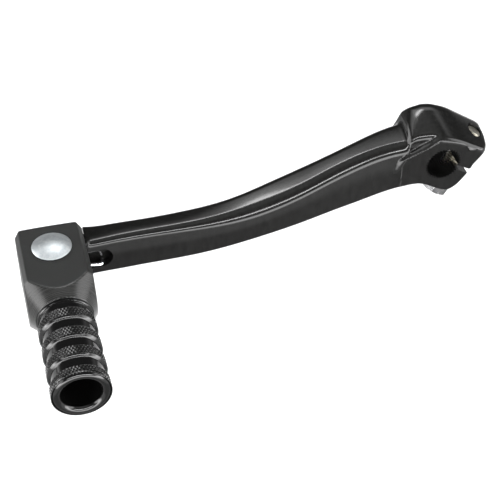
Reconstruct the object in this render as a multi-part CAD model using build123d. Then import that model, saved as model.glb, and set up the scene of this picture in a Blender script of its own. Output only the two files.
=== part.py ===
from build123d import *
import math
import os

# Motorcycle gear shift lever: forged arm with a splined split hub, and a
# folding toe peg held out by a torsion spring on a riveted pivot.
# Row frame: origin at the middle of the splined bore, +X from the toe peg
# to the hub and beyond, +Y inboard along the bore, -Y outboard (the way
# the toe peg points), +Z up.  Everything below is first laid out from the
# pivot point (rivet axis crossing the peg axis) and shifted once at the end.

# ------------------------------------------------------------ dimensions (mm)
PIVOT_TO_BORE_X = 142.17      # pivot to bore axis, along the lever
PIVOT_TO_BORE_Z = 2.95        # bore axis above the peg axis
HUB_FACE_Y = 18.0             # outboard face of the hub, inboard of the pivot
HUB_T = 16.0                  # hub width along the bore

# splined hub
BORE_R = 6.0                  # serration tips
SPLINE_N = 36
SPLINE_DEPTH = 0.42
SPLINE_W = 0.50               # groove mouth width
HUB_ROLL = 30.0               # pinch bolt leans from +Z towards +X
SLOT_W = 1.9                  # clamp slot
BOLT_S = 8.9                  # bolt axis from the bore axis
BOLT_D = 8.0                  # bolt axis behind the outboard face
SEAT_T = -10.3                # bolt head seat, along the bolt axis
BOLT_R = 2.94                 # M6 thread over its crests
BOLT_LEN = 23.0
BOLT_AF = 10.0                # across flats
BOLT_K = 4.0                  # head height
BOLT_CLEAR_R = 3.55           # clearance hole, lower jaw
BOLT_TAP_R = 2.97             # tapped hole, upper jaw
FACE_R = 10.3                 # machined facing round the bore
FACE_STEP = 0.8               # hood stands back from the machined face

# toe peg, machined from square bar
BLOCK_HALF = 11.0
BLOCK_BACK_Y = 10.8
BLOCK_CH = 1.5                # long-edge chamfer
CONE_BACK_Y = -13.3
CONE_BACK_R = 14.6
NECK_Y = -21.7
NECK_R = 9.13
RING_R = 9.3
GROOVE_R = 8.4
RING_PITCH = 8.2
RING_W = 4.3
RING1_FRONT = -29.95
PEG_END_Y = -54.5
HOLLOW_R = 6.8
HOLLOW_BOTTOM_Y = -20.0

# clevis slot in the block
SLOT_Z0, SLOT_Z1 = -5.9, 8.3
SLOT_R = 8.4
SLOT_BACK_Y = 8.2

# pivot
RIVET_R = 3.5
RIVET_HEAD_R = 6.47
RIVET_DOME = 2.15
SLEEVE_R = 4.6
TONGUE_R = 7.6
TONGUE_BORE_R = 4.65
TONGUE_Z0, TONGUE_Z1 = 0.2, 8.0
WASHER_R, WASHER_T = 6.2, 1.1

# return spring
WIRE_R = 0.6
COIL_R = 5.6
COIL_PITCH = 1.32
COIL_TOP_Z = -1.25
COIL_BOT_Z = -4.6
LEG_X = 16.0

# spring pocket in the front of the arm
POCKET_R = 3.5
POCKET_Z = 1.2
POCKET_END_X = 16.1
POCKET_FLOOR_Y = 4.6

# arm: x, front y, bottom z, crease z, back y, top z
ARM = [
    (11.2, 1.40, -5.55, 7.40, 12.8, 7.9),
    (15.0, 1.40, -5.55, 7.50, 12.0, 7.95),
    (20.0, 1.65, -5.60, 7.50, 11.7, 8.1),
    (32.0, 1.95, -5.60, 7.40, 11.6, 8.1),
    (45.0, 2.15, -5.60, 7.10, 12.2, 8.0),
    (56.0, 3.00, -5.60, 6.40, 13.3, 8.1),
    (66.0, 4.50, -5.60, 5.90, 15.2, 8.6),
    (76.0, 6.40, -5.60, 6.40, 17.9, 9.4),
    (88.0, 9.10, -5.55, 8.10, 21.0, 10.7),
    (100.0, 12.30, -5.50, 10.20, 23.6, 12.7),
    (112.0, 15.20, -5.35, 11.90, 27.0, 14.3),
    (124.0, 17.60, -5.00, 12.10, 30.9, 14.7),
    (134.0, 18.00, -4.70, 12.10, 33.0, 14.5),
]
R_BF, R_CREASE, R_TOP, R_BB = 1.5, 2.4, 3.2, 3.0

OX, OY, OZ = PIVOT_TO_BORE_X, HUB_FACE_Y + HUB_T / 2, PIVOT_TO_BORE_Z
TO_ROW = Location((-OX, -OY, -OZ))
C30, S30 = math.cos(math.radians(HUB_ROLL)), math.sin(math.radians(HUB_ROLL))


def hub_xz(s, t):
    """Slot/bolt directions to world X, Z, from the bore axis."""
    return OX + s * C30 + t * S30, OZ - s * S30 + t * C30


def corner_fillet(sk, pts):
    for (px, py), r in pts:
        v = sk.vertices().sort_by(lambda q: (q.X - px) ** 2 + (q.Y - py) ** 2)[0]
        sk = fillet(v, r)
    return sk


def arm_section(row):
    x, yf, zb, zc, yk, zk = row
    sk = make_face(Polyline((yf, zb), (yf, zc), (yk, zk), (yk, zb), close=True))
    sk = corner_fillet(sk, [((yf, zb), R_BF), ((yf, zc), R_CREASE), ((yk, zk), R_TOP), ((yk, zb), R_BB)])
    return Plane(origin=(x, 0, 0), x_dir=(0, 1, 0), z_dir=(1, 0, 0)) * sk


def xz_prism(pts, y0, y1):
    """Closed outline in X, Z extruded from y0 to y1."""
    pl = Plane(origin=(0, y0, 0), x_dir=(1, 0, 0), z_dir=(0, -1, 0))
    f = pl * make_face(Polyline(*pts, close=True))
    return extrude(f, amount=y1 - y0, dir=(0, 1, 0))


def y_cyl(r, y0, y1, x=0.0, z=0.0):
    return Location((x, (y0 + y1) / 2, z), (90, 0, 0)) * Cylinder(r, y1 - y0)


def z_cyl(r, z0, z1, x=0.0, y=0.0):
    return Location((x, y, (z0 + z1) / 2)) * Cylinder(r, z1 - z0)


def box(x0, x1, y0, y1, z0, z1):
    return Location(((x0 + x1) / 2, (y0 + y1) / 2, (z0 + z1) / 2)) * Box(x1 - x0, y1 - y0, z1 - z0)


# ------------------------------------------------------------------ lever arm
arm = loft([arm_section(r) for r in ARM])

# hub outline: lower jaw with the bolt seat, upper jaw with the hood
hub_pts = []
for s, t in ((-5.5, SEAT_T), (8.2, SEAT_T), (10.3, -8.9), (11.8, -6.0), (12.2, -2.0), (12.2, 0.0), (13.4, 1.0),
             (13.6, 10.0), (12.9, 12.2), (10.6, 13.8), (4.0, 14.6), (-2.5, 15.1)):
    hub_pts.append(hub_xz(s, t))
for dx, dz in ((2.5, 15.3), (-1.3, 16.6), (-5.5, 16.8), (-9.3, 15.7), (-12.8, 13.2), (-16.0, 10.6), (-16.0, -7.6)):
    hub_pts.append((OX + dx, OZ + dz))
hub = xz_prism(hub_pts, HUB_FACE_Y, HUB_FACE_Y + HUB_T)

# the hood leans back above the machined face
t_dir = Vector(S30, 0, C30)
lean = Plane(origin=Vector(OX, HUB_FACE_Y, OZ) + t_dir * 10.9, x_dir=(C30, 0, -S30),
             z_dir=t_dir * 0.74 + Vector(0, -0.67, 0))
hub -= lean * (Location((0, 0, 15)) * Box(80, 60, 30))
# machined facing: a circle round the bore run out towards the arm
facing = xz_prism([(OX - 22, OZ + 1.8), (OX - 4.2, OZ + 9.4), (OX, OZ), (OX + 9.3, OZ + 4.4), (OX + 30, OZ + 4.4),
                   (OX + 30, OZ + 40), (OX - 22, OZ + 40)], HUB_FACE_Y - 3, HUB_FACE_Y + FACE_STEP)
facing -= y_cyl(FACE_R, HUB_FACE_Y - 4, HUB_FACE_Y + 4, OX, OZ)
hub -= facing
lever = arm + hub

# tongue: eye round the pivot, and a neck into the arm
tongue = z_cyl(TONGUE_R, TONGUE_Z0, TONGUE_Z1)
neck_up = extrude(make_face(Polyline((0, -TONGUE_R), (4.2, -6.35), (11.6, 1.4), (11.6, 7.4), (0, TONGUE_R), close=True)),
                  amount=TONGUE_Z1 - TONGUE_Z0)
tongue += Location((0, 0, TONGUE_Z0)) * neck_up
tongue += box(8.4, 11.6, 1.4, 7.4, -5.0, 4.0)
lever += tongue
lever -= z_cyl(TONGUE_BORE_R, -10, 12)
# pocket for the spring leg in the front face of the arm
lever -= y_cyl(POCKET_R, -12, POCKET_FLOOR_Y, POCKET_END_X, POCKET_Z)
lever -= box(7.6, POCKET_END_X, -12, POCKET_FLOOR_Y, POCKET_Z - POCKET_R, POCKET_Z + POCKET_R)

# bore, serrations, clamp slot and bolt holes
y0, y1 = HUB_FACE_Y - 2, HUB_FACE_Y + HUB_T + 2
lever -= y_cyl(BORE_R, y0, y1, OX, OZ)
a_in = math.asin(SPLINE_W / 2 / BORE_R)
tooth = [(-math.sin(a_in) * (BORE_R - 0.3) * 1.18, (BORE_R - 0.3) * math.cos(a_in)),
         (0.0, BORE_R + SPLINE_DEPTH),
         (math.sin(a_in) * (BORE_R - 0.3) * 1.18, (BORE_R - 0.3) * math.cos(a_in))]
teeth = []
for k in range(SPLINE_N):
    a = 2 * math.pi * (k + 0.5) / SPLINE_N
    ca, sa = math.cos(a), math.sin(a)
    teeth.append(xz_prism([(OX + u * ca + v * sa, OZ - u * sa + v * ca) for u, v in tooth], y0, y1))
lever -= teeth

slot_pts = [hub_xz(s, t) for s, t in ((BORE_R - 2.0, -SLOT_W / 2), (30, -SLOT_W / 2), (30, SLOT_W / 2), (BORE_R - 2.0, SLOT_W / 2))]
lever -= xz_prism(slot_pts, y0, y1)

bx, bz = hub_xz(BOLT_S, 0)
bolt_plane = Plane(origin=(bx, HUB_FACE_Y + BOLT_D, bz), x_dir=(0, 1, 0), z_dir=t_dir)
lever -= bolt_plane * (Location((0, 0, -15)) * Cylinder(BOLT_CLEAR_R, 30))
lever -= bolt_plane * (Location((0, 0, 15)) * Cylinder(BOLT_TAP_R, 30))
lever -= bolt_plane * (Location((0, 0, SEAT_T - 6.0)) * Cylinder(7.6, 12.0))

# ----------------------------------------------------------------- pinch bolt
head = extrude(RegularPolygon(BOLT_AF / 2, 6, major_radius=False), amount=BOLT_K)
head &= Location((0, 0, BOLT_K / 2)) * Cylinder(BOLT_AF / 2 / math.cos(math.pi / 6) - 0.12, BOLT_K)
bolt = Location((0, 0, SEAT_T - BOLT_K)) * head
shank = Location((0, 0, SEAT_T + BOLT_LEN / 2)) * Cylinder(BOLT_R, BOLT_LEN)
shank = chamfer(shank.edges().filter_by(GeomType.CIRCLE).sort_by(Axis.Z)[-1], 0.45)
bolt = bolt_plane * (bolt + shank)

# -------------------------------------------------------------------- toe peg
block = box(-BLOCK_HALF, BLOCK_HALF, NECK_Y, BLOCK_BACK_Y, -BLOCK_HALF, BLOCK_HALF)
block = chamfer(block.edges().filter_by(Axis.Y), BLOCK_CH)
block = chamfer(block.edges().filter_by(Axis.Z).sort_by(Axis.Y)[-2:], 2.0)


def revolved(profile):
    """Profile of (radius, y) pairs turned about the peg axis."""
    f = make_face(Polyline(*[(r, y) for r, y in profile], close=True))
    return revolve(f, Axis.Y)


cone = revolved([(0, NECK_Y), (NECK_R, NECK_Y), (CONE_BACK_R, CONE_BACK_Y), (16.0, CONE_BACK_Y + 2.0), (16.0, 12.0), (0, 12.0)])
block &= cone
prof = [(0, NECK_Y + 1.0), (NECK_R, NECK_Y), (8.7, NECK_Y - 0.25), (8.7, NECK_Y - 0.55), (NECK_R - 0.1, NECK_Y - 0.8),
        (NECK_R - 0.1, NECK_Y - 1.2), (GROOVE_R, NECK_Y - 1.9)]
for k in range(3):
    f = RING1_FRONT - k * RING_PITCH
    prof += [(GROOVE_R, f + RING_W + 0.5), (RING_R - 0.25, f + RING_W), (RING_R, f + RING_W - 0.3),
             (RING_R, f + 0.3), (RING_R - 0.25, f), (GROOVE_R, f - 0.5)]
f = RING1_FRONT - 3 * RING_PITCH
prof += [(GROOVE_R, f + RING_W + 0.5), (RING_R - 0.25, f + RING_W), (RING_R, f + RING_W - 0.3), (RING_R, PEG_END_Y + 2.0),
         (RING_R - 0.35, PEG_END_Y + 0.9), (RING_R - 1.0, PEG_END_Y + 0.2), (RING_R - 1.5, PEG_END_Y), (HOLLOW_R + 0.6, PEG_END_Y + 0.3),
         (HOLLOW_R, PEG_END_Y + 1.2), (HOLLOW_R, HOLLOW_BOTTOM_Y), (0, HOLLOW_BOTTOM_Y + 2.2)]
peg = block + revolved(prof)

slot = extrude(make_face(Polyline((0, SLOT_BACK_Y), (14, SLOT_BACK_Y), (14, -11.7), (11, -10.9), (4.2, -8.35), (0, -SLOT_R), close=True)),
               amount=SLOT_Z1 - SLOT_Z0)
slot = Location((0, 0, SLOT_Z0)) * slot + z_cyl(SLOT_R, SLOT_Z0, SLOT_Z1)
peg -= slot & box(-20, 20, -20, SLOT_BACK_Y, -20, 20)
peg -= z_cyl(RIVET_R + 0.02, -15, 15)
# anchor hole for the spring tail in the lower ear
tail_a = math.radians(200.0)
tail_x, tail_y = COIL_R * math.cos(tail_a), COIL_R * math.sin(tail_a)
peg -= z_cyl(WIRE_R + 0.08, -9.0, -4.0, tail_x, tail_y)

# --------------------------------------------------- rivet, washer and sleeve
cap_h = RIVET_DOME
cap_R = (RIVET_HEAD_R ** 2 + cap_h ** 2) / (2 * cap_h)
dome = (Location((0, 0, 11.5 + cap_h - cap_R)) * Sphere(cap_R)) & box(-8, 8, -8, 8, 11.5, 15)
rivet = z_cyl(RIVET_R, -13.0, 11.3) + z_cyl(5.6, 11.0, 11.25) + z_cyl(RIVET_HEAD_R, 11.2, 11.52) + dome
tail_h, tail_r = 1.5, 4.9
tR = (tail_r ** 2 + tail_h ** 2) / (2 * tail_h)
z_w = -BLOCK_HALF - WASHER_T
rivet += (Location((0, 0, z_w - tail_h + tR)) * Sphere(tR)) & box(-8, 8, -8, 8, z_w - 4, z_w)
washer = z_cyl(WASHER_R, z_w, -BLOCK_HALF) - z_cyl(RIVET_R + 0.03, z_w - 1, -BLOCK_HALF + 1)
washer = chamfer(washer.edges().filter_by(GeomType.CIRCLE).sort_by(SortBy.RADIUS)[-2:], 0.15)
sleeve = z_cyl(SLEEVE_R, SLOT_Z0, SLOT_Z1) - z_cyl(RIVET_R + 0.04, SLOT_Z0 - 1, SLOT_Z1 + 1)

# -------------------------------------------------------------- return spring
# coil round the sleeve under the tongue; top leg runs out in the pocket
knee = (10.9, 2.05)
d = math.hypot(*knee)
dir_a = math.atan2(knee[1], knee[0]) + math.asin(COIL_R / d)
top_a = dir_a - math.pi / 2
turns = (COIL_TOP_Z - COIL_BOT_Z) / COIL_PITCH
# counter-clockwise from the tail up to the leg
span = top_a - tail_a
while span < 2 * math.pi * 2.0:
    span += 2 * math.pi
pitch = (COIL_TOP_Z - COIL_BOT_Z) / (span / (2 * math.pi))
helix = Helix(pitch=pitch, height=COIL_TOP_Z - COIL_BOT_Z, radius=COIL_R)
helix = Location((0, 0, COIL_BOT_Z), (0, 0, math.degrees(tail_a))) * helix
coil = sweep(Plane(origin=helix @ 0, z_dir=helix % 0) * Circle(WIRE_R), path=helix)
tx, ty = COIL_R * math.cos(top_a), COIL_R * math.sin(top_a)


def rod(p, q, r=WIRE_R):
    p, q = Vector(*p), Vector(*q)
    return extrude(Plane(origin=p, z_dir=q - p) * Circle(r), amount=(q - p).length)


def ball(p, r=WIRE_R):
    return Location(p) * Sphere(r)


zt = COIL_TOP_Z
p_leg = [(tx, ty, zt), (knee[0], knee[1], zt), (LEG_X, 1.55, zt - 0.35), (LEG_X + 0.1, 3.9, zt - 0.3)]
spring = coil
for i in range(3):
    spring += rod(p_leg[i], p_leg[i + 1])
    spring += ball(p_leg[i])
spring += ball((tail_x, tail_y, COIL_BOT_Z))
spring += rod((tail_x, tail_y, COIL_BOT_Z), (tail_x, tail_y, -8.4))

# ---------------------------------------------------------------------- write
os.makedirs("parts", exist_ok=True)
nodes = {
    "lever_arm": lever,
    "pinch_bolt": bolt,
    "toe_peg": peg,
    "pivot_rivet": rivet,
    "rivet_washer": washer,
    "pivot_sleeve": sleeve,
    "return_spring": spring,
}
for name, shape in nodes.items():
    shape = shape.moved(TO_ROW) if isinstance(shape, (Solid, Compound, Part)) else Part(children=list(shape)).moved(TO_ROW)
    export_step(shape, "parts/" + name + ".step")
    print(name, round(shape.volume, 1), len(shape.solids()))
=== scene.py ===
import bpy, bmesh, math
import numpy as np
from mathutils import Matrix, Vector


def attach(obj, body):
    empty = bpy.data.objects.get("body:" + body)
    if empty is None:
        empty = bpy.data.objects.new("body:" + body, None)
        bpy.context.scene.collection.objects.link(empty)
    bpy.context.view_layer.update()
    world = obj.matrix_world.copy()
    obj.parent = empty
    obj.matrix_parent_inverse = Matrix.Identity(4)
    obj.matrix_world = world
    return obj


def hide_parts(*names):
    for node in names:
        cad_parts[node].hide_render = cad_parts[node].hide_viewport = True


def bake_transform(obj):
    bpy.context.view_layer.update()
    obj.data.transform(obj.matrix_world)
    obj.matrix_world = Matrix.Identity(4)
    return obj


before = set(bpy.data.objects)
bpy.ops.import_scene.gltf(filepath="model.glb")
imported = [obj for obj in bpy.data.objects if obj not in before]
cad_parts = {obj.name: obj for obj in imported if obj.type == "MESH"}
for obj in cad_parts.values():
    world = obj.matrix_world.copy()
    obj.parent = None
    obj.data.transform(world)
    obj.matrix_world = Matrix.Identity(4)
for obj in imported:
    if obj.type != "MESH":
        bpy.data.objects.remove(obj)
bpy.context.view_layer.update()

# ------------------------------------------------------------------ frame
# Shapes below are laid out in millimetres from the fold pivot (rivet axis x
# peg axis) and moved to the row frame, whose origin is the bore's middle.
OX, OY, OZ = 142.17, 26.0, 2.95
O = np.array([OX, OY, OZ])
FACE_Y, HUB_T = 18.0, 16.0
C30, S30 = math.cos(math.radians(30)), math.sin(math.radians(30))
PEG_AX = (-OX * .001, -OY * .001, -OZ * .001)


def row(v):
    return (np.asarray(v, float) - O) * 0.001


def add_mesh(name, verts, faces, mm=True):
    me = bpy.data.meshes.new(name)
    v = row(verts) if mm else np.asarray(verts, float)
    me.from_pydata([tuple(p) for p in v], [], [tuple(f) for f in faces])
    me.update()
    o = bpy.data.objects.new(name, me)
    bpy.context.scene.collection.objects.link(o)
    return o


def clean(o, dist=1e-6):
    bm = bmesh.new(); bm.from_mesh(o.data)
    bmesh.ops.remove_doubles(bm, verts=bm.verts, dist=dist)
    bmesh.ops.dissolve_degenerate(bm, edges=bm.edges, dist=dist)
    bmesh.ops.recalc_face_normals(bm, faces=bm.faces)
    bm.to_mesh(o.data); bm.free()


def smooth(o, deg=35):
    bpy.context.view_layer.objects.active = o
    for s in bpy.context.selected_objects:
        s.select_set(False)
    o.select_set(True)
    bpy.ops.object.shade_smooth_by_angle(angle=math.radians(deg))
    o.select_set(False)


# ---------------------------------------------------------- implicit surfaces
def rmax(a, b, r):
    return np.minimum(np.maximum(a, b), -r) + np.hypot(np.maximum(a + r, 0), np.maximum(b + r, 0))


def umin(a, b, k):
    h = np.clip(0.5 + 0.5 * (b - a) / k, 0, 1)
    return b * (1 - h) + a * h - k * h * (1 - h)


def umax(a, b, k):
    return -umin(-a, -b, k)


def step(x, a, b):
    t = np.clip((x - a) / (b - a), 0, 1)
    return t * t * (3 - 2 * t)


def rbox2(u, v, u0, u1, v0, v1, r):
    a = np.abs(u - (u0 + u1) / 2) - (u1 - u0) / 2 + r
    b = np.abs(v - (v0 + v1) / 2) - (v1 - v0) / 2 + r
    return np.hypot(np.maximum(a, 0), np.maximum(b, 0)) + np.minimum(np.maximum(a, b), 0) - r


def spline(xs, ys):
    """Natural cubic through the stations, as a function of x, held at the ends."""
    xs, ys = np.array(xs, float), np.array(ys, float)
    n = len(xs); h = np.diff(xs)
    A = np.zeros((n, n)); r = np.zeros(n)
    A[0, 0] = A[-1, -1] = 1
    for i in range(1, n - 1):
        A[i, i - 1], A[i, i], A[i, i + 1] = h[i - 1], 2 * (h[i - 1] + h[i]), h[i]
        r[i] = 6 * ((ys[i + 1] - ys[i]) / h[i] - (ys[i] - ys[i - 1]) / h[i - 1])
    m = np.linalg.solve(A, r)

    def f(x):
        x = np.clip(x, xs[0], xs[-1])
        i = np.clip(np.searchsorted(xs, x) - 1, 0, n - 2)
        d, hi = x - xs[i], h[i]
        return (ys[i] + d * ((ys[i + 1] - ys[i]) / hi - hi * (2 * m[i] + m[i + 1]) / 6)
                + d * d * m[i] / 2 + d ** 3 * (m[i + 1] - m[i]) / (6 * hi))
    return f


def surface_nets(F, org, h):
    """Quads on the zero level of a sampled field."""
    s = F < 0
    nx, ny, nz = F.shape
    acc = np.zeros((nx - 1, ny - 1, nz - 1, 3), np.float32)
    cnt = np.zeros((nx - 1, ny - 1, nz - 1), np.int16)
    sl = lambda a, dx, dy, dz: a[dx:nx - 1 + dx, dy:ny - 1 + dy, dz:nz - 1 + dz]
    for ax in range(3):
        for p in range(2):
            for q in range(2):
                c0 = [0, 0, 0]; c0[(ax + 1) % 3] = p; c0[(ax + 2) % 3] = q
                c1 = list(c0); c1[ax] = 1
                f0, f1 = sl(F, *c0), sl(F, *c1)
                m = sl(s, *c0) != sl(s, *c1)
                t = np.where(m, f0 / np.where(m, f0 - f1, 1), 0)
                for k in range(3):
                    acc[..., k] += np.where(m, c0[k] + (t if k == ax else 0), 0)
                cnt += m
    on = cnt > 0
    idx = -np.ones(on.shape, np.int64); idx[on] = np.arange(on.sum())
    cells = np.argwhere(on)
    V = (cells + acc[on] / cnt[on][:, None]) * h + org
    quads = []
    for ax in range(3):
        a0 = [slice(None)] * 3; a1 = [slice(None)] * 3
        a0[ax], a1[ax] = slice(0, -1), slice(1, None)
        m = s[tuple(a0)] != s[tuple(a1)]
        e = np.argwhere(m)
        u, w = (ax + 1) % 3, (ax + 2) % 3
        e = e[(e[:, u] > 0) & (e[:, w] > 0) & (e[:, u] < F.shape[u] - 1) & (e[:, w] < F.shape[w] - 1)]
        inside = s[e[:, 0], e[:, 1], e[:, 2]]
        def at(du, dw):
            g = e.copy(); g[:, u] += du; g[:, w] += dw
            return idx[g[:, 0], g[:, 1], g[:, 2]]
        q = np.stack([at(-1, -1), at(0, -1), at(0, 0), at(-1, 0)], 1)
        q[~inside] = q[~inside][:, ::-1]
        quads.append(q)
    return V, np.concatenate(quads)


def grad(f, V, e=2e-3):
    g = np.empty_like(V)
    for k in range(3):
        d = np.zeros(3); d[k] = e
        g[:, k] = (f(V + d) - f(V - d)) / (2 * e)
    return g


def implicit(f, lo, hi, h, rounds=3):
    """Mesh of f<0: sampled, relaxed along the surface, and set exactly on it."""
    lo, hi = np.array(lo, float), np.array(hi, float)
    n = np.ceil((hi - lo) / h).astype(int) + 1
    ax = [lo[k] + h * np.arange(n[k]) for k in range(3)]
    F = np.empty(n, np.float32)
    for i0 in range(0, n[0], 40):
        X, Y, Z = np.meshgrid(ax[0][i0:i0 + 40], ax[1], ax[2], indexing="ij")
        F[i0:i0 + 40] = f(np.stack([X, Y, Z], -1).reshape(-1, 3)).reshape(X.shape)
    V, Q = surface_nets(F, lo, h)
    E = np.unique(np.sort(np.concatenate([Q[:, [0, 1]], Q[:, [1, 2]], Q[:, [2, 3]], Q[:, [3, 0]]]), 1), axis=0)
    deg = np.bincount(E.ravel(), minlength=len(V))[:, None]
    for k in range(rounds):
        S = np.stack([np.bincount(E[:, 0], V[E[:, 1], c], len(V)) + np.bincount(E[:, 1], V[E[:, 0], c], len(V)) for c in range(3)], 1)
        g = grad(f, V); L = np.maximum((g * g).sum(1, keepdims=True), 0.04)
        d = (S / deg - V) * 0.6
        d -= g * ((d * g).sum(1, keepdims=True) / L)
        V = V + d
        for _ in range(2):
            g = grad(f, V); L = np.maximum((g * g).sum(1, keepdims=True), 0.04)
            mv = -g * (f(V)[:, None] / L)
            ln = np.linalg.norm(mv, axis=1, keepdims=True)
            V = V + mv * np.minimum(1, 0.4 * h / np.maximum(ln, 1e-9))
    return V, Q


# ------------------------------------------------------------------ lever arm
ARM = np.array([
    (11.2, 1.40, -5.55, 7.40, 12.8, 7.9),
    (15.0, 1.40, -5.55, 7.50, 12.0, 7.95),
    (20.0, 1.65, -5.60, 7.50, 11.7, 8.1),
    (32.0, 1.95, -5.60, 7.40, 11.6, 8.1),
    (45.0, 2.15, -5.60, 7.10, 12.2, 8.0),
    (56.0, 3.00, -5.60, 6.40, 13.3, 8.1),
    (66.0, 4.50, -5.60, 5.90, 15.2, 8.6),
    (76.0, 6.40, -5.60, 6.40, 17.9, 9.4),
    (88.0, 9.10, -5.55, 8.10, 21.0, 10.7),
    (100.0, 12.30, -5.50, 10.20, 23.6, 12.7),
    (112.0, 15.20, -5.35, 11.90, 27.0, 14.3),
    (124.0, 17.70, -5.00, 12.10, 30.9, 14.7),
    (134.0, 18.10, -4.70, 12.10, 33.0, 14.5)])
yf_, zb_, zc_, yk_, zk_ = [spline(ARM[:, 0], ARM[:, k]) for k in range(1, 6)]


RTOP = spline((11.2, 20, 45, 66, 88, 112, 134), (1.2, 1.3, 1.8, 2.6, 3.1, 3.4, 3.0))


def arm_field(V):
    x, y, z = V[:, 0], V[:, 1], V[:, 2]
    yf, zb, zc, yk, zk = yf_(x), zb_(x), zc_(x), yk_(x), zk_(x)
    w = np.clip((y - yf) / (yk - yf), -0.2, 1.2)
    zt = zc + (zk - zc) * w + 0.42 * 4 * w * (1 - w)
    wz = np.clip((z - zb) / (zt - zb), 0, 1)
    wc = np.clip(w, 0, 1)
    lean = 1.0 * np.clip((wz - 0.38) / 0.62, 0, 1) ** 2
    fr, bk = (yf + lean - y) * 0.98, (y - yk) * 0.97
    tp, bt = (z - zt) * 0.98, zb - 0.2 * step(x, 16, 24) - z
    rt = RTOP(x)
    r = (1.1 * (1 - wc) + 3.0 * wc) * (1 - wz) + (rt * (1 - wc) + 3.2 * wc) * wz
    f = rmax(np.maximum(fr, bk), np.maximum(tp, bt), r)
    f = rmax(f, 11.25 - x, 0.7)
    return np.maximum(f, x - 141.0)


def poly(pts, px, pz):
    """Signed distance to a closed outline."""
    pts = np.array(pts, float)
    d = np.full(px.shape, 1e9); inside = np.zeros(px.shape, bool)
    for (ax, az), (bx_, bz_) in zip(pts, np.roll(pts, -1, 0)):
        ex, ez = bx_ - ax, bz_ - az
        wx, wz = px - ax, pz - az
        t = np.clip((wx * ex + wz * ez) / (ex * ex + ez * ez), 0, 1)
        d = np.minimum(d, (wx - ex * t) ** 2 + (wz - ez * t) ** 2)
        c = ((az <= pz) & (bz_ > pz)) | ((bz_ <= pz) & (az > pz))
        inside ^= c & (px < ax + (pz - az) / (ez if ez else 1e-9) * ex)
    return np.where(inside, -1, 1) * np.sqrt(d)


def rounded(pts, k=6, rr=0.32):
    """Closed outline with each corner drawn as a quadratic arc."""
    pts = np.array(pts, float); out = []
    n = len(pts)
    for i in range(n):
        p, q, r_ = pts[i - 1], pts[i], pts[(i + 1) % n]
        A, B = q + (p - q) * rr, q + (r_ - q) * rr
        for t in np.linspace(0, 1, k):
            out.append(A * (1 - t) ** 2 + 2 * q * t * (1 - t) + B * t * t)
    return out


def sxz(s, t):
    return s * C30 + t * S30, -s * S30 + t * C30


HUB = [sxz(s, t) for s, t in ((-5.5, -10.3), (7.6, -10.3), (9.9, -8.9), (11.3, -6.0), (11.8, -2.0), (11.9, 0.5), (12.3, 3.0), (13.0, 5.0),
                              (13.8, 8.0), (14.6, 11.4), (14.3, 13.5), (11.6, 14.5), (4.0, 15.2), (-2.5, 16.1))] + \
      [(2.6, 16.8), (-1.3, 18.3), (-5.5, 18.5), (-9.4, 16.9), (-12.0, 13.8), (-13.6, 10.0), (-19.0, 0.0), (-16.0, -7.0)]
HUB = rounded(HUB, 4)
# facing cut round the bore, run out along the arm and off the jaws, and the
# forged pocket between its rim, the hood and the arm's crease
FACING = [(-15.0, -30), (-16.0, 2.6), (-14.6, 4.9), (-5.6, 8.6)] + \
         [(10.3 * math.cos(math.radians(q)), 10.3 * math.sin(math.radians(q))) for q in np.linspace(122, 24, 20)] + \
         [(13.5, 4.2), (30, 4.2), (30, -30)]
LEDGE = [(-40, -30), (-40, 1.2), (-22.0, 1.4)] + FACING[2:]
POCKET = rounded([(-13.6, 6.6), (-11.8, 10.4), (-6.4, 10.6), (-8.6, 9.0)], 4, 0.25)


def hub_field(V):
    x, y, z = V[:, 0] - OX, V[:, 1] - FACE_Y, V[:, 2] - OZ
    s, t = x * C30 - z * S30, x * S30 + z * C30
    d2 = poly(HUB, x, z)
    up = step(t + 0.25 * s, 1.5, 8.0)                  # 0 on the jaws' ends, 1 on the hood
    f = rmax(d2, -0.8 - y, 0.9 + 1.4 * up)
    f = rmax(f, y - HUB_T, 1.0 + 3.4 * up)
    # the hood's top leans back, and its front stands back over the arm side
    lean = (t - 10.6) * 0.95 - y * 0.31
    lean2 = (z - 12.4) * 0.89 - (y - 1.6) * 0.45
    lean = np.where(z > 5, umax(lean, lean2, 4.5), lean)
    f = rmax(f, lean, 2.2)
    w = (1.5 - y) - 3.4 * step(x, -4.5, 2.5) - 6.0 * step(poly(LEDGE, x, z), 1.7, 0.1)
    f = rmax(f, w, 1.7)
    return rmax(f, ((s - 12.6 - 1.6 * step(t, 4.0, 0.0)) - 0.9 * y) * 0.74, 2.0)


def tongue_field(V):
    x, y, z = V[:, 0], V[:, 1], V[:, 2]
    eye = np.hypot(x, y) - 7.6
    nk = np.maximum(np.maximum(-x, x - 12.5), np.maximum(y - 7.4, (x * 0.87 - y * 0.72 - 8.6)))
    nk = np.maximum(nk, (-y - 7.6))
    f = rmax(np.minimum(eye, nk), np.maximum(z - 7.95, 0.25 - z), 0.5)
    lowneck = np.maximum(np.maximum(8.5 - x, x - 12.5), np.maximum(np.maximum(1.4 - y, y - 7.4), np.maximum(-5.0 - z, z - 4)))
    return np.minimum(f, lowneck)


def lever_field(V):
    a = arm_field(V)
    far = V[:, 0] > 105
    out = a.copy()
    if far.any():
        P = V[far]
        h = umin(a[far], hub_field(P), 1.4)
        X, Y, Z = P[:, 0] - OX, P[:, 1] - FACE_Y, P[:, 2] - OZ
        h = rmax(h, -np.maximum(poly(FACING, X, Z), Y + 0.09 * np.maximum(0, -9.5 - X)), 0.42)
        h = rmax(h, -np.maximum(poly(POCKET, X, Z), Y - 1.5), 0.4)
        out[far] = h
    near = V[:, 0] < 16
    if near.any():
        out[near] = umin(a[near], tongue_field(V[near]), 0.5)
    return out


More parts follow.
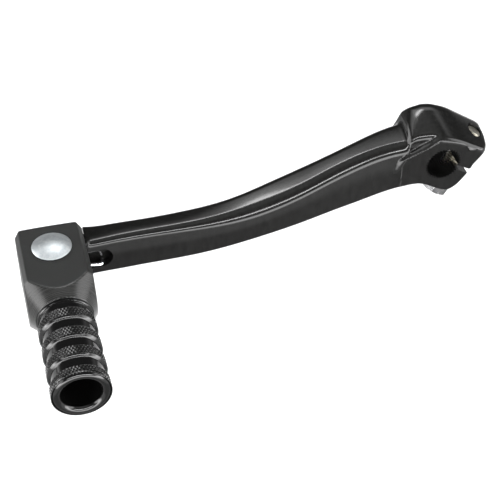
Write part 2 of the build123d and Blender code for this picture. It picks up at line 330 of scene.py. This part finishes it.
H = 0.36
LV, LQ = implicit(lever_field, (-9.5, -9.5, -13.5), (160, 36.5, 23.5), H)
lever = add_mesh("lever_forging", LV, LQ)
clean(lever, 1e-7)


# -------------------------------------------------------------------- cutters
def prism_y(pts, y0, y1):
    """Closed outline in X, Z between two Y planes."""
    n = len(pts)
    v = [(p[0], y0, p[1]) for p in pts] + [(p[0], y1, p[1]) for p in pts]
    f = [tuple(range(n)), tuple(range(2 * n - 1, n - 1, -1))] + [(i, i + n, (i + 1) % n + n, (i + 1) % n) for i in range(n)]
    return v, f


def st(s, t):
    return OX + s * C30 + t * S30, OZ - s * S30 + t * C30


def lathe(profile, n, closed_ends=True):
    """(radius, height) pairs turned about +Z; radius 0 makes a pole."""
    v, rings, f = [], [], []
    for r, h in profile:
        if r <= 1e-9:
            rings.append([len(v)]); v.append((0, 0, h))
        else:
            rings.append(list(range(len(v), len(v) + n)))
            v += [(r * math.cos(2 * math.pi * i / n), r * math.sin(2 * math.pi * i / n), h) for i in range(n)]
    for a, b in zip(rings[:-1], rings[1:]):
        for i in range(n):
            j = (i + 1) % n
            if len(a) == 1 and len(b) == 1:
                continue
            if len(a) == 1:
                f.append((a[0], b[j], b[i]))
            elif len(b) == 1:
                f.append((a[i], a[j], b[0]))
            else:
                f.append((a[i], a[j], b[j], b[i]))
    return np.array(v, float), f


def place(v, origin, zdir, xdir=None):
    z = Vector(zdir).normalized()
    x = Vector(xdir) if xdir is not None else z.orthogonal()
    x = (x - z * x.dot(z)).normalized()
    y = z.cross(x)
    M = np.array([x, y, z]).T
    return np.asarray(v, float) @ M.T + np.array(origin, float)


def cut(o, name, v, f, op="DIFFERENCE"):
    c = add_mesh("cutter_" + name, v, f)
    clean(c, 1e-9)
    m = o.modifiers.new("cut", "BOOLEAN")
    m.operation, m.object, m.solver = op, c, "EXACT"
    bpy.context.view_layer.update()
    dg = bpy.context.evaluated_depsgraph_get()
    me = bpy.data.meshes.new_from_object(o.evaluated_get(dg))
    o.modifiers.clear()
    old = o.data; o.data = me
    bpy.data.meshes.remove(old)
    me.name = o.name
    bpy.data.objects.remove(c)


def circle(cx, cz, r, a0, a1, n):
    return [(cx + r * math.cos(math.radians(a0 + (a1 - a0) * i / n)), cz + r * math.sin(math.radians(a0 + (a1 - a0) * i / n))) for i in range(n + 1)]


Y0, Y1 = FACE_Y - 4, FACE_Y + HUB_T + 3
# serrated bore
N = 36
star = []
for k in range(N):
    a = 2 * math.pi * k / N
    for da, r in ((-0.20, 6.0), (0.0, 6.0), (0.20, 6.0), (0.34, 6.6), (0.66, 6.6)):
        b = a + da * 2 * math.pi / N
        star.append((OX + r * math.cos(b), OZ + r * math.sin(b)))
v, f = prism_y(star, Y0, Y1); cut(lever, "bore", v, f)
v, f = lathe([(0, -1), (6.9, -1), (5.9, 0.12), (0, 0.12)], 72)
cut(lever, "mouth", place(v, (OX, FACE_Y + 0.05, OZ), (0, 1, 0)), f)
v, f = lathe([(0, -1), (6.9, -1), (5.9, 0.12), (0, 0.12)], 72)
cut(lever, "mouth2", place(v, (OX, FACE_Y + HUB_T - 0.05, OZ), (0, -1, 0)), f)
# clamp slot
v, f = prism_y([st(4.2, -0.35), st(4.2, 1.45), st(10.9, 1.45), st(11.6, 1.75), st(12.2, 2.6), st(30, 2.6), st(30, -0.35)], Y0, Y1); cut(lever, "slot", v, f)
# pinch bolt holes and seat
bx, bz = st(8.9, 0)
BO, BT = (bx, FACE_Y + 8.0, bz), (S30, 0, C30)
v, f = lathe([(0, 0), (3.0, 0), (3.0, 14.0), (3.45, 14.6), (3.45, 30), (0, 30)], 48); cut(lever, "tap", place(v, BO, BT), f)
v, f = lathe([(0, 0), (3.5, 0), (3.5, 12), (0, 12)], 48); cut(lever, "clear", place(v, BO, (-S30, 0, -C30)), f)
v, f = lathe([(0, 10.3), (7.6, 10.3), (7.6, 22), (0, 22)], 64); cut(lever, "seat", place(v, BO, (-S30, 0, -C30)), f)
# tongue bore and spring pocket
v, f = lathe([(0, -10), (4.65, -10), (4.65, 12), (0, 12)], 64); cut(lever, "eye", v, f)
pk = [(16.1 + 3.5 * math.sin(a), 1.2 + 3.5 * math.cos(a)) for a in np.linspace(0, math.pi, 25)] + [(7.6, -2.3), (7.6, 4.7)]
v, f = prism_y(pk, -12, 4.6); cut(lever, "springpocket", v, f)
clean(lever, 2e-7)
smooth(lever, 32)
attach(lever, "lever"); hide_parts("lever_arm")


# -------------------------------------------------------------------- toe peg
def block_field(V):
    x, y, z = V[:, 0], V[:, 1], V[:, 2]
    ax, az = np.abs(x) - 11.0, np.abs(z) - 11.0
    f = rmax(ax, az, 0.25)
    f = rmax(f, (np.abs(x) + np.abs(z) - 20.5) * 0.70711, 0.25)
    f = rmax(f, y - 10.8 + 0.0022 * x * x, 0.3)
    f = rmax(f, (np.abs(x) + y - 19.9) * 0.70711, 0.3)
    cone = (np.hypot(x, z) - 9.13 - (y + 21.7) * 0.6512) * 0.838
    f = rmax(f, cone, 0.3)
    return rmax(f, -21.7 - y, 0.12)


BV, BQ = implicit(block_field, (-12, -22.6, -12), (12, 12, 12), 0.27)
blk = add_mesh("toe_clevis", BV, BQ); clean(blk, 1e-7)
plan = [(14, 8.2), (14, -11.7), (11, -10.9), (4.2, -8.35)] + [(8.4 * math.cos(a), 8.4 * math.sin(a)) for a in np.linspace(-math.pi / 2, -1.5 * math.pi + 0.221, 40)]
n = len(plan)
v = [(p[0], min(p[1], 8.2), -5.9) for p in plan] + [(p[0], min(p[1], 8.2), 8.3) for p in plan]
f = [tuple(range(n)), tuple(range(2 * n - 1, n - 1, -1))] + [(i, i + n, (i + 1) % n + n, (i + 1) % n) for i in range(n)]
cut(blk, "clevis", v, f)
v, f = lathe([(0, -14), (3.52, -14), (3.52, 14), (0, 14)], 48); cut(blk, "rivethole", v, f)
v, f = lathe([(0, 17.8), (6.8, 20.0), (6.8, 30), (0, 30)], 96); cut(blk, "hollow", place(v, (0, 0, 0), (0, -1, 0)), f)
clean(blk, 2e-7); smooth(blk, 32)
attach(blk, "toe"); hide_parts("toe_peg")

# turned end: grooves, rings with a cut diamond knurl, rolled rim, hollow
RR, GR, W, PITCH, R1 = 9.3, 8.35, 4.3, 8.2, -29.95
prof = []          # (radius, y, knurl 0..1)


def seg(r0, y0, r1, y1, n, k=0.0):
    for i in range(n):
        t = i / n
        prof.append((r0 + (r1 - r0) * t, y0 + (y1 - y0) * t, k))


seg(6.8, -21.3, 8.75, -21.3, 2)
seg(8.75, -21.3, 8.75, -21.95, 3)
seg(8.75, -21.95, 8.98, -22.1, 2)
seg(8.98, -22.1, 8.98, -22.75, 3)
yb = -22.75
for k in range(4):
    front = R1 - k * PITCH
    back = front + W
    r0 = 8.98 if k == 0 else RR - 0.62
    # plain groove, tight fillets at both ends
    for q in np.linspace(0, 1, 5)[1:]:
        a = q * math.pi / 2
        prof.append((r0 - (r0 - GR) * math.sin(a), yb - 0.22 * (1 - math.cos(a)), 0))
    seg(GR, yb - 0.3, GR, back + 0.3, 8)
    for q in np.linspace(0, 1, 5)[1:]:
        a = q * math.pi / 2
        prof.append((RR - 0.34 - (RR - 0.34 - GR) * math.cos(a), back + 0.26 * (1 - math.sin(a)), 0))
    seg(RR - 0.34, back - 0.01, RR, back - 0.3, 2)
    yk1 = front + 0.62
    for i in range(38):
        prof.append((RR, back - 0.3 + (yk1 - back + 0.3) * i / 38, 1.0))
    if k < 3:
        seg(RR, yk1, RR - 0.62, front, 5)
        yb = front
# rolled rim
ye = R1 - 3 * PITCH + 0.62
seg(RR, ye, RR - 0.22, ye - 0.3, 2)
cy, cr = -52.65, 1.55
rc = RR - 0.12 - cr
for i in range(26):
    a = math.radians(38 - (38 + 158) * i / 25)
    prof.append((rc + cr * 1.0 * math.cos(a), cy + cr * 1.15 * math.sin(a), 0))
prof.append((6.8, cy - 0.1, 0))
prof.append((6.8, -40, 0)); prof.append((6.8, -30, 0))
NT = 756
th = np.arange(NT) * 2 * math.pi / NT
NK, TAN = 54, 0.64
PV = np.zeros((len(prof), NT, 3)); crest = np.zeros((len(prof), NT), np.float32)
k_y = [p[1] for p in prof if p[2] > 0]
for i, (r, y, kn) in enumerate(prof):
    rad = np.full(NT, r)
    if kn > 0:
        def ridge(ph):
            q = np.abs((ph / (2 * math.pi)) % 1.0 * 2 - 1)        # 1 at the groove, 0 at the crest
            return np.clip((q - 0.22) / 0.78, 0, 1)
        a = ridge(NK * th + NK * (y / RR) * TAN)
        b = ridge(NK * th - NK * (y / RR) * TAN)
        dep = np.maximum(a, b)
        rad = r - 0.34 * dep
        crest[i] = 1 - dep
    PV[i, :, 0] = rad * np.cos(th); PV[i, :, 1] = y; PV[i, :, 2] = rad * np.sin(th)
n = len(prof)
idx = np.arange(n * NT).reshape(n, NT)
quads = []
for i in range(n):
    a, b = idx[i], idx[(i + 1) % n]
    quads.append(np.stack([a, b, np.roll(b, -1), np.roll(a, -1)], 1))
grip = add_mesh("toe_grip", PV.reshape(-1, 3), np.concatenate(quads))
# crest: 1 on the knurl crests, 0 in the cuts; drives the painted glint in knurled_black
at = grip.data.attributes.new("crest", "FLOAT", "POINT"); at.data.foreach_set("value", crest.ravel())
bm = bmesh.new(); bm.from_mesh(grip.data); bmesh.ops.recalc_face_normals(bm, faces=bm.faces); bm.to_mesh(grip.data); bm.free()
smooth(grip, 28)
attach(grip, "toe")

# -------------------------------------------------------------------- rivet
cap_h, rh = 2.15, 6.47
cap_R = (rh * rh + cap_h * cap_h) / (2 * cap_h)
pr = [(0, 11.0), (3.6, 11.0), (5.5, 11.0), (5.6, 11.12), (6.0, 11.3), (6.38, 11.36), (6.47, 11.46)]
for i in range(1, 30):
    a = math.asin(rh / cap_R) * (1 - i / 30.0)
    pr.append((cap_R * math.sin(a), 11.5 + cap_h - cap_R + cap_R * math.cos(a)))
pr.append((0, 11.5 + cap_h))
v, f = lathe(pr, 128)
rv = add_mesh("rivet_head", v, f); clean(rv, 1e-8); smooth(rv, 40)
v, f = lathe([(0, 11.4), (3.5, 11.4), (3.5, -12.3), (4.9, -12.3), (4.85, -12.5), (4.5, -13.0), (3.9, -13.3), (2.9, -13.55), (1.6, -13.68), (0, -13.72)], 96)
rt = add_mesh("rivet_shank", v, f); clean(rt, 1e-8); smooth(rt, 40)
for o in (rv, rt):
    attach(o, "toe")
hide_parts("pivot_rivet"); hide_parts("pivot_rivet")

# -------------------------------------------------------------------- pinch bolt
hexr = 5.0 / math.cos(math.pi / 6)
v = [(hexr * math.cos(math.pi / 3 * i + math.pi / 6), hexr * math.sin(math.pi / 3 * i + math.pi / 6), z) for z in (0, 4.0) for i in range(6)]
f = [(5, 4, 3, 2, 1, 0), (6, 7, 8, 9, 10, 11)] + [(i, (i + 1) % 6, (i + 1) % 6 + 6, i + 6) for i in range(6)]
hd = add_mesh("bolt_head", place(v, np.array(BO) - np.array(BT) * 14.3, BT, (0, 1, 0)), f)
v, f = lathe([(0, -0.01), (4.75, -0.01), (5.9, 0.66), (5.9, 3.72), (5.5, 3.8), (4.9, 4.0), (0, 4.0)], 96)
cut(hd, "hexcap", place(v, np.array(BO) - np.array(BT) * 14.3, BT), f, "INTERSECT")
clean(hd, 1e-8)
b = hd.modifiers.new("bev", "BEVEL"); b.width, b.segments, b.limit_method, b.angle_limit = 0.00012, 2, "ANGLE", math.radians(25)
smooth(hd, 30)
pt_, PP = [], 1.0
NZ, NA = 220, 48
z0, z1 = -10.5, 12.75
Vb = []
for i in range(NZ + 1):
    z = z0 + (z1 - z0) * i / NZ
    for j in range(NA):
        a = 2 * math.pi * j / NA
        ph = (z / PP - a / (2 * math.pi)) % 1.0
        tri = 1 - abs(2 * ph - 1)
        rr = 2.42 + 0.53 * min(1.0, max(0.0, (tri - 0.12) / 0.72))
        rr = min(rr, 2.4 + max(0.0, (z1 - z)) * 0.9)
        Vb.append((rr * math.cos(a), rr * math.sin(a), z))
Vb += [(0, 0, z0), (0, 0, z1)]
Fb = [(i * NA + j, i * NA + (j + 1) % NA, (i + 1) * NA + (j + 1) % NA, (i + 1) * NA + j) for i in range(NZ) for j in range(NA)]
Fb += [(NA * (NZ + 1), (j + 1) % NA, j) for j in range(NA)]
Fb += [(NA * (NZ + 1) + 1, NZ * NA + j, NZ * NA + (j + 1) % NA) for j in range(NA)]
sk = add_mesh("bolt_shank", place(Vb, BO, BT), Fb); smooth(sk, 40)
for o in (hd, sk):
    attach(o, "lever")
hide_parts("pinch_bolt"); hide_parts("pinch_bolt")

# -------------------------------------------------------------------- spring
COIL, ZT, ZB = 5.6, -1.25, -4.6
knee = np.array([10.9, 2.05])
dk = np.hypot(*knee)
top_a = math.atan2(knee[1], knee[0]) + math.asin(COIL / dk) - math.pi / 2
tail_a = math.radians(200)
span = top_a - tail_a
while span < 4 * math.pi:
    span += 2 * math.pi
pts = [(COIL * math.cos(tail_a), COIL * math.sin(tail_a), z) for z in (-8.3, -7.2, -6.2, -5.4)]
pts = [np.array(p, float) for p in pts]
for i in range(0, 121):
    a = tail_a + span * i / 120
    z = ZB + (ZT - ZB) * step(i / 120, -0.25, 1.25) if False else ZB + (ZT - ZB) * (i / 120)
    pts.append(np.array([COIL * math.cos(a), COIL * math.sin(a), z]))


def bend(p, q, r_, n_=8):
    """Arc through a corner q between p and r_, by radius of about 1.4 mm."""
    a, b = (p - q), (r_ - q)
    a, b = a / np.linalg.norm(a), b / np.linalg.norm(b)
    d = 1.3
    A, B = q + a * d, q + b * d
    return [A * (1 - t) ** 2 + 2 * q * t * (1 - t) + B * t * t for t in np.linspace(0, 1, n_)]


T = pts[-1]
K = np.array([knee[0], knee[1], ZT]); L1 = np.array([16.0, 1.55, ZT - 0.35]); L2 = np.array([16.1, 4.1, ZT - 0.25])
pts += bend(T, K, L1) + bend(K, L1, L2) + [L2]
pts = np.array(pts)
tg = np.gradient(pts, axis=0); tg /= np.linalg.norm(tg, axis=1)[:, None]
nrm = np.cross(tg[0], [0.3, 0.2, 1.0]); nrm /= np.linalg.norm(nrm)
NS = 20; VV = []
for i, (p, t) in enumerate(zip(pts, tg)):
    nrm = nrm - t * nrm.dot(t); nrm /= np.linalg.norm(nrm)
    bn = np.cross(t, nrm)
    for j in range(NS):
        a = 2 * math.pi * j / NS
        VV.append(p + 0.6 * (math.cos(a) * nrm + math.sin(a) * bn))
m = len(pts)
FF = [(i * NS + j, i * NS + (j + 1) % NS, (i + 1) * NS + (j + 1) % NS, (i + 1) * NS + j) for i in range(m - 1) for j in range(NS)]
FF += [tuple(range(NS - 1, -1, -1)), tuple(range((m - 1) * NS, m * NS))]
sp = add_mesh("torsion_spring", VV, FF)
bm = bmesh.new(); bm.from_mesh(sp.data); bmesh.ops.recalc_face_normals(bm, faces=bm.faces); bm.to_mesh(sp.data); bm.free()
smooth(sp, 50)
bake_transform(sp)
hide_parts("return_spring")
for nn in ("rivet_washer", "pivot_sleeve"):
    smooth(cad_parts[nn], 30)


# ------------------------------------------------------------------ materials
def mat(name):
    m = bpy.data.materials.new(name); m.use_nodes = True
    nt = m.node_tree; bsdf = nt.nodes["Principled BSDF"]
    return m, nt, bsdf


def noise(nt, scale, detail=4, stretch=None, rough=0.5):
    tc = nt.nodes.new("ShaderNodeTexCoord")
    mp = nt.nodes.new("ShaderNodeMapping")
    if stretch:
        mp.inputs["Scale"].default_value = stretch
    n = nt.nodes.new("ShaderNodeTexNoise")
    n.inputs["Scale"].default_value = scale; n.inputs["Detail"].default_value = detail; n.inputs["Roughness"].default_value = rough
    nt.links.new(tc.outputs["Object"], mp.inputs["Vector"]); nt.links.new(mp.outputs["Vector"], n.inputs["Vector"])
    return n


def ramp(nt, src, a, b, ca, cb):
    r = nt.nodes.new("ShaderNodeValToRGB")
    r.color_ramp.elements[0].position, r.color_ramp.elements[1].position = a, b
    r.color_ramp.elements[0].color = (*ca, 1) if len(ca) == 3 else ca
    r.color_ramp.elements[1].color = (*cb, 1) if len(cb) == 3 else cb
    nt.links.new(src, r.inputs["Fac"])
    return r


def bump(nt, bsdf, src, strength, dist):
    b = nt.nodes.new("ShaderNodeBump"); b.inputs["Strength"].default_value = strength; b.inputs["Distance"].default_value = dist
    nt.links.new(src, b.inputs["Height"]); nt.links.new(b.outputs["Normal"], bsdf.inputs["Normal"])
    return b


# gloss black anodised forging: faint orange peel, fine polish grain
m_arm, nt, bs = mat("forged_black")
n1 = noise(nt, 900, 6, (1.0, 1.0, 0.25), 0.6)
n2 = noise(nt, 55, 3)
r1 = ramp(nt, n2.outputs["Fac"], 0.35, 0.7, (0.09,) * 3, (0.14,) * 3)
nt.links.new(r1.outputs["Color"], bs.inputs["Roughness"])
c1 = ramp(nt, n1.outputs["Fac"], 0.35, 0.7, (0.0028, 0.0028, 0.0027), (0.0060, 0.0060, 0.0058))
nt.links.new(c1.outputs["Color"], bs.inputs["Base Color"])
bs.inputs["IOR"].default_value = 1.31
bump(nt, bs, n1.outputs["Fac"], 0.10, 0.00008)

# black anodised bar: matt-fine grain on the flats, turned rings elsewhere
m_peg, nt, bs = mat("machined_black")
n1 = noise(nt, 2600, 4, (1.0, 1.0, 1.0), 0.7)
n2 = noise(nt, 90, 3)
c1 = ramp(nt, n1.outputs["Fac"], 0.3, 0.75, (0.004, 0.0042, 0.004), (0.008, 0.0084, 0.008))
nt.links.new(c1.outputs["Color"], bs.inputs["Base Color"])
r1 = ramp(nt, n2.outputs["Fac"], 0.3, 0.7, (0.42,) * 3, (0.52,) * 3)
nt.links.new(r1.outputs["Color"], bs.inputs["Roughness"])
bs.inputs["IOR"].default_value = 1.38
bump(nt, bs, n1.outputs["Fac"], 0.25, 0.00004)

# the turned cone: gloss black with fine tool rings round the peg axis
m_cone, nt, bs = mat("turned_black")
tc_ = nt.nodes.new("ShaderNodeTexCoord"); mp_ = nt.nodes.new("ShaderNodeMapping")
mp_.inputs["Location"].default_value = (-PEG_AX[0], 0, -PEG_AX[2])
sp_ = nt.nodes.new("ShaderNodeSeparateXYZ")
nt.links.new(tc_.outputs["Object"], mp_.inputs["Vector"]); nt.links.new(mp_.outputs["Vector"], sp_.inputs["Vector"])
wv = nt.nodes.new("ShaderNodeTexNoise"); wv.noise_dimensions = "1D"; wv.inputs["Scale"].default_value = 5200; wv.inputs["Detail"].default_value = 3
nt.links.new(sp_.outputs["Y"], wv.inputs["W"])
c1 = ramp(nt, wv.outputs["Fac"], 0.3, 0.7, (0.002, 0.002, 0.002), (0.016, 0.016, 0.0155))
nt.links.new(c1.outputs["Color"], bs.inputs["Base Color"])
r1 = ramp(nt, wv.outputs["Fac"], 0.3, 0.7, (0.22,) * 3, (0.34,) * 3)
nt.links.new(r1.outputs["Color"], bs.inputs["Roughness"])
bs.inputs["IOR"].default_value = 1.34
bump(nt, bs, wv.outputs["Fac"], 0.5, 0.00002)

# turned grip: gloss black, crests of the knurl lightened in the base colour as a painted glint
m_grip, nt, bs = mat("knurled_black")
at_ = nt.nodes.new("ShaderNodeAttribute"); at_.attribute_name = "crest"
n1 = noise(nt, 1500, 4)
mx = nt.nodes.new("ShaderNodeMath"); mx.operation = "MULTIPLY"
nt.links.new(at_.outputs["Fac"], mx.inputs[0]); nt.links.new(n1.outputs["Fac"], mx.inputs[1])
# crest mask times grain lifts the base colour: painted glint on the knurl crests
c1 = ramp(nt, mx.outputs[0], 0.36, 0.62, (0.002, 0.002, 0.002), (0.03, 0.03, 0.029))
nt.links.new(c1.outputs["Color"], bs.inputs["Base Color"])
r1 = ramp(nt, n1.outputs["Fac"], 0.3, 0.7, (0.09,) * 3, (0.15,) * 3)
nt.links.new(r1.outputs["Color"], bs.inputs["Roughness"])
bs.inputs["IOR"].default_value = 1.4
bump(nt, bs, n1.outputs["Fac"], 0.12, 0.00004)

# satin rivet
m_riv, nt, bs = mat("satin_steel")
n1 = noise(nt, 700, 6, None, 0.65)
c1 = ramp(nt, n1.outputs["Fac"], 0.3, 0.7, (0.27, 0.29, 0.30), (0.40, 0.422, 0.432))
nt.links.new(c1.outputs["Color"], bs.inputs["Base Color"])
bs.inputs["Metallic"].default_value = 1.0
r1 = ramp(nt, n1.outputs["Fac"], 0.3, 0.7, (0.44,) * 3, (0.52,) * 3)
nt.links.new(r1.outputs["Color"], bs.inputs["Roughness"])
bump(nt, bs, n1.outputs["Fac"], 0.15, 0.00005)

# zinc plated bolt and washer
m_zn, nt, bs = mat("zinc_plate")
n1 = noise(nt, 420, 5)
c1 = ramp(nt, n1.outputs["Fac"], 0.3, 0.7, (0.24, 0.24, 0.243), (0.36, 0.36, 0.363))
nt.links.new(c1.outputs["Color"], bs.inputs["Base Color"])
bs.inputs["Metallic"].default_value = 1.0
r1 = ramp(nt, n1.outputs["Fac"], 0.3, 0.7, (0.18,) * 3, (0.30,) * 3)
nt.links.new(r1.outputs["Color"], bs.inputs["Roughness"])
bump(nt, bs, n1.outputs["Fac"], 0.10, 0.00005)

# thread and sawn end of the bolt: duller, a little yellow
m_thr, nt, bs = mat("thread_steel")
n1 = noise(nt, 900, 5)
c1 = ramp(nt, n1.outputs["Fac"], 0.3, 0.7, (0.11, 0.105, 0.09), (0.26, 0.245, 0.20))
nt.links.new(c1.outputs["Color"], bs.inputs["Base Color"])
bs.inputs["Metallic"].default_value = 1.0
r1 = ramp(nt, n1.outputs["Fac"], 0.3, 0.7, (0.30,) * 3, (0.46,) * 3)
nt.links.new(r1.outputs["Color"], bs.inputs["Roughness"])
bump(nt, bs, n1.outputs["Fac"], 0.25, 0.00006)

# bright wire
m_wire, nt, bs = mat("bright_wire")
n1 = noise(nt, 1800, 3)
c1 = ramp(nt, n1.outputs["Fac"], 0.3, 0.7, (0.66, 0.67, 0.69), (0.80, 0.81, 0.83))
nt.links.new(c1.outputs["Color"], bs.inputs["Base Color"])
bs.inputs["Metallic"].default_value = 1.0
r1 = ramp(nt, n1.outputs["Fac"], 0.3, 0.7, (0.16,) * 3, (0.24,) * 3)
nt.links.new(r1.outputs["Color"], bs.inputs["Roughness"])

for o, m in ((lever, m_arm), (blk, m_peg), (grip, m_grip), (rv, m_riv), (rt, m_riv), (hd, m_zn), (sk, m_thr), (sp, m_wire),
             (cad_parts["rivet_washer"], m_zn), (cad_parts["pivot_sleeve"], m_zn)):
    o.data.materials.clear(); o.data.materials.append(m)
blk.data.materials.append(m_cone)
for q in blk.data.polygons:
    if q.normal.y < -0.3 and q.center.y < row((0, -12.9, 0))[1] and abs(q.normal.x) + abs(q.normal.z) > 0.3:
        q.material_index = 1
for nn in ("lever_arm", "toe_peg"):
    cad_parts[nn].data.materials.clear(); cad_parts[nn].data.materials.append(m_arm)

# ------------------------------------------------------------------- camera
AZ, EL, ROLL, TX, TY, DD, FPX = -15.41, 42.943, 0.782, -63.758, 7.191, 413.529, 1265.0
a, e, r = [math.radians(q) for q in (AZ, EL, ROLL)]
back = np.array([math.sin(a) * math.cos(e), -math.cos(a) * math.cos(e), math.sin(e)])
fwd = -back
right = np.cross(fwd, [0, 0, 1]); right /= np.linalg.norm(right)
down = np.cross(fwd, right)
R = np.array([[math.cos(r), -math.sin(r), 0], [math.sin(r), math.cos(r), 0], [0, 0, 1]]) @ np.array([right, down, fwd])
loc = row(-R.T @ np.array([TX, TY, DD]))
cam = bpy.data.cameras.new("camera"); co = bpy.data.objects.new("camera", cam)
bpy.context.scene.collection.objects.link(co)
cam.sensor_width, cam.sensor_fit, cam.lens = 36.0, "HORIZONTAL", 36.0 * FPX / 500.0
M = Matrix.Identity(4)
for k, col in enumerate((R[0], -R[1], -R[2])):
    for i in range(3):
        M[i][k] = col[i]
M.translation = Vector(loc)
co.matrix_world = M
cam.clip_start, cam.clip_end = 0.01, 20
bpy.context.scene.camera = co

# ------------------------------------------------------------ floor and light
fl = add_mesh("floor", [(-4, -0.9, 0), (4, -0.9, 0), (4, 6, 0), (-4, 6, 0)], [(0, 1, 2, 3)], mm=False)
fl.location = (-0.07, 0, -0.30)
m_fl, nt, bs = mat("floor_white")
n1 = noise(nt, 3, 2)
c1 = ramp(nt, n1.outputs["Fac"], 0.3, 0.7, (0.58, 0.58, 0.58), (0.60, 0.60, 0.60))
nt.links.new(c1.outputs["Color"], bs.inputs["Base Color"]); bs.inputs["Roughness"].default_value = 0.9
fl.data.materials.append(m_fl)
# painted shade: a softly darker patch on the floor in front of and below the lever, darkening what the front faces
# reflect
tc_ = nt.nodes.new("ShaderNodeTexCoord"); mp_ = nt.nodes.new("ShaderNodeMapping"); mp_.vector_type = "POINT"
mp_.inputs["Scale"].default_value = (1 / 0.52, 1 / 0.30, 0.0)
mp_.inputs["Location"].default_value = (0.0, 0.23 / 0.30, 0.0)
gr_ = nt.nodes.new("ShaderNodeTexGradient"); gr_.gradient_type = "SPHERICAL"
nt.links.new(tc_.outputs["Object"], mp_.inputs["Vector"]); nt.links.new(mp_.outputs["Vector"], gr_.inputs["Vector"])
floor_painted_shade = ramp(nt, gr_.outputs["Fac"], 0.0, 0.42, (1.0,) * 3, (0.30,) * 3); floor_painted_shade.color_ramp.interpolation = "EASE"
old_ = bs.inputs["Base Color"].links[0].from_socket
mxc = nt.nodes.new("ShaderNodeMix"); mxc.data_type = "RGBA"; mxc.blend_type = "MULTIPLY"
mxc.inputs[0].default_value = 1.0
nt.links.new(old_, mxc.inputs[6]); nt.links.new(floor_painted_shade.outputs["Color"], mxc.inputs[7]); nt.links.new(mxc.outputs[2], bs.inputs["Base Color"])

world = bpy.data.worlds.new("studio"); bpy.context.scene.world = world; world.use_nodes = True
wn = world.node_tree; bg = wn.nodes["Background"]


def M_(op, *a):
    n = wn.nodes.new("ShaderNodeMath"); n.operation = op
    for i, q in enumerate(a):
        if isinstance(q, (int, float)):
            n.inputs[i].default_value = q
        else:
            wn.links.new(q, n.inputs[i])
    return n.outputs[0]


def S_(x, a, b):
    n = wn.nodes.new("ShaderNodeMapRange"); n.interpolation_type = "SMOOTHSTEP"; n.clamp = True
    n.inputs["From Min"].default_value, n.inputs["From Max"].default_value = a, b
    wn.links.new(x, n.inputs["Value"])
    return n.outputs["Result"]


tc = wn.nodes.new("ShaderNodeTexCoord"); sx = wn.nodes.new("ShaderNodeSeparateXYZ")
wn.links.new(tc.outputs["Generated"], sx.inputs["Vector"])
dx, dy, dz = sx.outputs
zc = M_("MAXIMUM", dz, 0.02)
U, W_ = M_("DIVIDE", dx, zc), M_("DIVIDE", dy, zc)
aU = M_("ABSOLUTE", M_("SUBTRACT", U, 0.15))
aE = M_("ABSOLUTE", M_("SUBTRACT", U, 0.24))
# overhead softbox on the far side, brighter towards its near edge
box_ = M_("MULTIPLY", M_("MULTIPLY", S_(W_, 0.20, 0.27), S_(W_, 0.82, 0.30)), S_(aU, 1.3, 0.6))
edge = M_("MULTIPLY", M_("MULTIPLY", S_(W_, 0.20, 0.24), S_(W_, 0.34, 0.27)), S_(aE, 0.42, 0.06))
zen = M_("MULTIPLY", M_("MULTIPLY", S_(W_, -0.75, -0.35), S_(W_, 0.30, 0.1)), S_(aU, 0.9, 0.4))
# narrow strip above the camera, a low bank in front, one panel at each side
strip = M_("MULTIPLY", M_("MULTIPLY", S_(W_, -1.75, -1.65), S_(W_, -1.35, -1.45)), S_(aU, 1.6, 0.9))
low = M_("MULTIPLY", M_("MULTIPLY", S_(dz, 0.22, 0.05), S_(dz, -0.45, 0.0)), S_(dy, 0.0, -0.6))
backlow = M_("MULTIPLY", S_(dz, 0.35, 0.05), S_(dy, -0.1, 0.5))
left = M_("MULTIPLY", M_("MULTIPLY", S_(dx, -0.70, -0.82), S_(dz, 0.0, 0.12)), S_(dz, 0.62, 0.45))
right = M_("MULTIPLY", M_("MULTIPLY", M_("MULTIPLY", S_(dx, 0.66, 0.78), S_(dz, 0.0, 0.15)), S_(dz, 0.80, 0.62)), S_(dy, 0.02, -0.12))
tot = M_("ADD", 0.12, M_("MULTIPLY", box_, 4.2))
for q, k in ((edge, 28.0), (strip, 40.0), (low, 14.0), (backlow, 0.5), (left, 9.0), (right, 7.0), (zen, 0.9)):
    tot = M_("ADD", tot, M_("MULTIPLY", q, k))
wn.links.new(tot, bg.inputs["Strength"])
bg.inputs["Color"].default_value = (1, 1, 1, 1)


def area(name, loc, target, sx_, sy_, power):
    l = bpy.data.lights.new(name, "AREA"); l.shape, l.size, l.size_y, l.energy = "RECTANGLE", sx_, sy_, power
    o = bpy.data.objects.new(name, l); bpy.context.scene.collection.objects.link(o)
    o.location = loc
    o.rotation_mode = "QUATERNION"
    o.rotation_quaternion = (Vector(target) - Vector(loc)).to_track_quat("-Z", "Y")
    return o


area("key_top", (-0.02, 0.25, 0.95), (-0.07, 0, 0), 0.5, 0.3, 1.0)
bpy.context.scene.view_settings.view_transform = "Standard"
bpy.context.scene.view_settings.look = "None"
